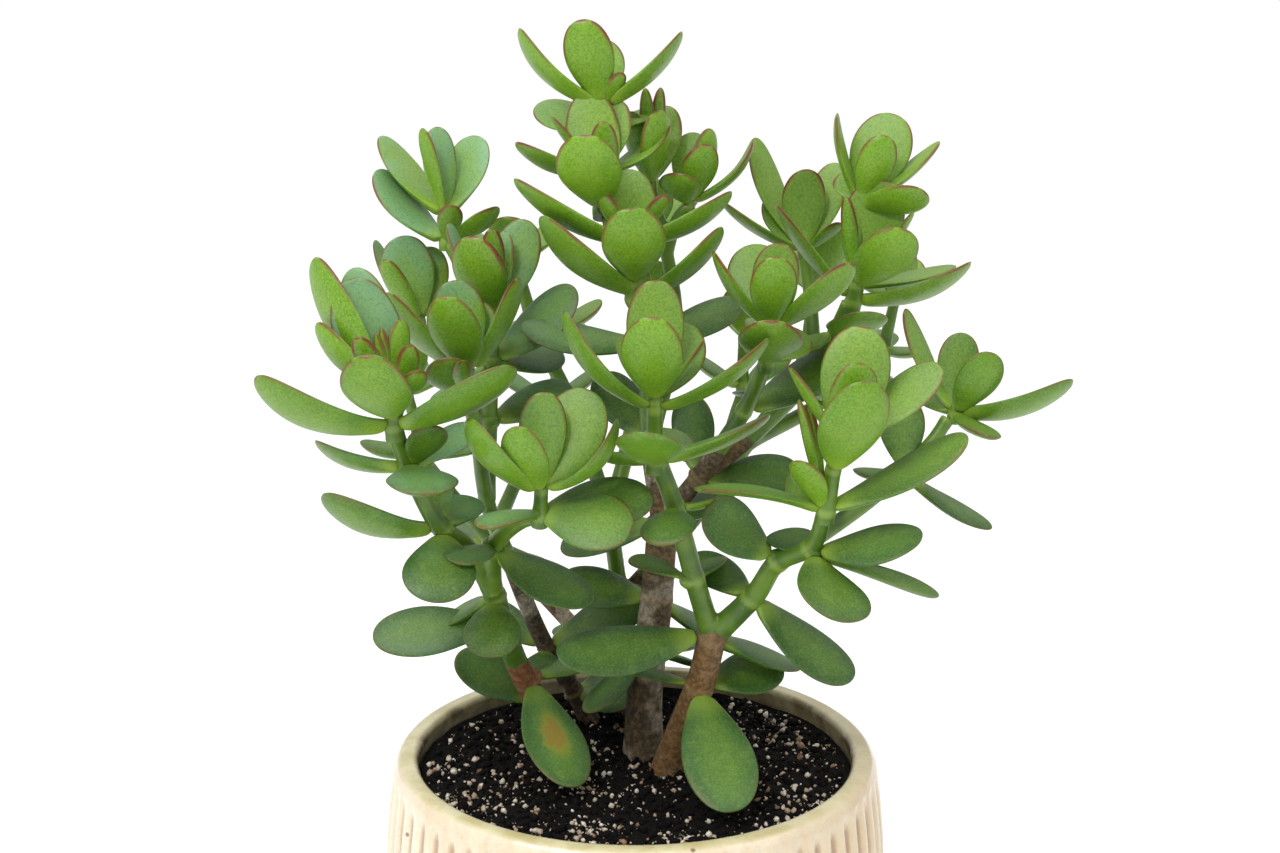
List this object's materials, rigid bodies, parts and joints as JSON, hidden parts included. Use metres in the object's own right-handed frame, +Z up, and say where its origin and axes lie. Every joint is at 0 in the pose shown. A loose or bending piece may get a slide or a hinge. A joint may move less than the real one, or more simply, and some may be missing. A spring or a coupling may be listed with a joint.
{
  "type": "potted jade plant",
  "caption": "Bushy jade plant with fleshy oval leaves on forked stems, growing in a ribbed cream-glazed round pot of dark potting mix.",
  "frame": {"origin": "middle of the pot's flat underside", "axes": "+Z up out of the pot; +X to the right and +Y to the back as the plant is usually looked at"},
  "size_m": [0.2452, 0.1994, 0.3731],
  "materials": {
    "glaze": "glossy",
    "potting_mix": "rough",
    "bark": "matte",
    "leaf": "satin"
  },
  "bodies": {
    "root": {"pot": "glaze", "potting_mix": "potting_mix", "front_trunk": "bark", "main_trunk": "bark", "left_trunk": "bark", "grey_trunk": "bark", "rear_trunk": "bark", "leader_tip_leaves": "leaf", "leader_middle_leaves": "leaf", "leader_side_twig_leaves": "leaf", "leader_right_twig_leaves": "leaf", "high_left_twig_leaves": "leaf", "inner_left_twig_leaves": "leaf", "outer_left_twig_leaves": "leaf", "front_left_tip_leaves": "leaf", "middle_left_tip_leaves": "leaf", "front_low_tip_leaves": "leaf", "front_centre_tip_leaves": "leaf", "front_centre_leaf_pair": "leaf", "front_fork_leaf_pair": "leaf", "right_centre_tip_leaves": "leaf", "high_right_tip_leaves": "leaf", "high_right_leaf_whorl": "leaf", "inner_right_twig_leaves": "leaf", "front_right_tip_leaves": "leaf", "front_right_leaf_whorl": "leaf", "front_right_single_leaf": "leaf", "far_right_tip_leaves": "leaf", "far_right_leaf_whorl": "leaf", "left_trunk_leaf_whorl_5": "leaf", "left_trunk_leaf_whorl_4": "leaf", "left_trunk_leaf_pair_3": "leaf", "left_trunk_leaf_whorl_2": "leaf", "left_trunk_leaf_whorl_1": "leaf", "front_trunk_leaf_pair_2": "leaf", "front_right_leaf_pair": "leaf", "front_trunk_leaf_whorl_1": "leaf", "grey_trunk_leaf_whorl_2": "leaf", "grey_trunk_leaf_pair_1": "leaf", "main_trunk_leaf_pair_2": "leaf", "main_trunk_leaf_pair_1": "leaf", "main_trunk_leaf_pair_3": "leaf", "leader_lower_leaf_pair": "leaf", "leader_upper_leaf_pair": "leaf", "right_branch_leaf_pair": "leaf", "right_branch_single_leaf": "leaf", "inner_left_leaf_whorl_2": "leaf", "inner_left_leaf_whorl_1": "leaf", "rear_left_tip_leaves": "leaf", "rear_centre_tip_leaves": "leaf", "rear_right_tip_leaves": "leaf", "rear_far_left_tip_leaves": "leaf", "rear_left_leaf_pair": "leaf", "rear_far_right_tip_leaves": "leaf", "rear_trunk_leaf_pair_2": "leaf", "rear_trunk_leaf_pair_1": "leaf", "rear_outer_left_tip_leaves": "leaf", "rear_outer_right_tip_leaves": "leaf", "rear_right_leaf_pair": "leaf"}
  },
  "joints": []
}
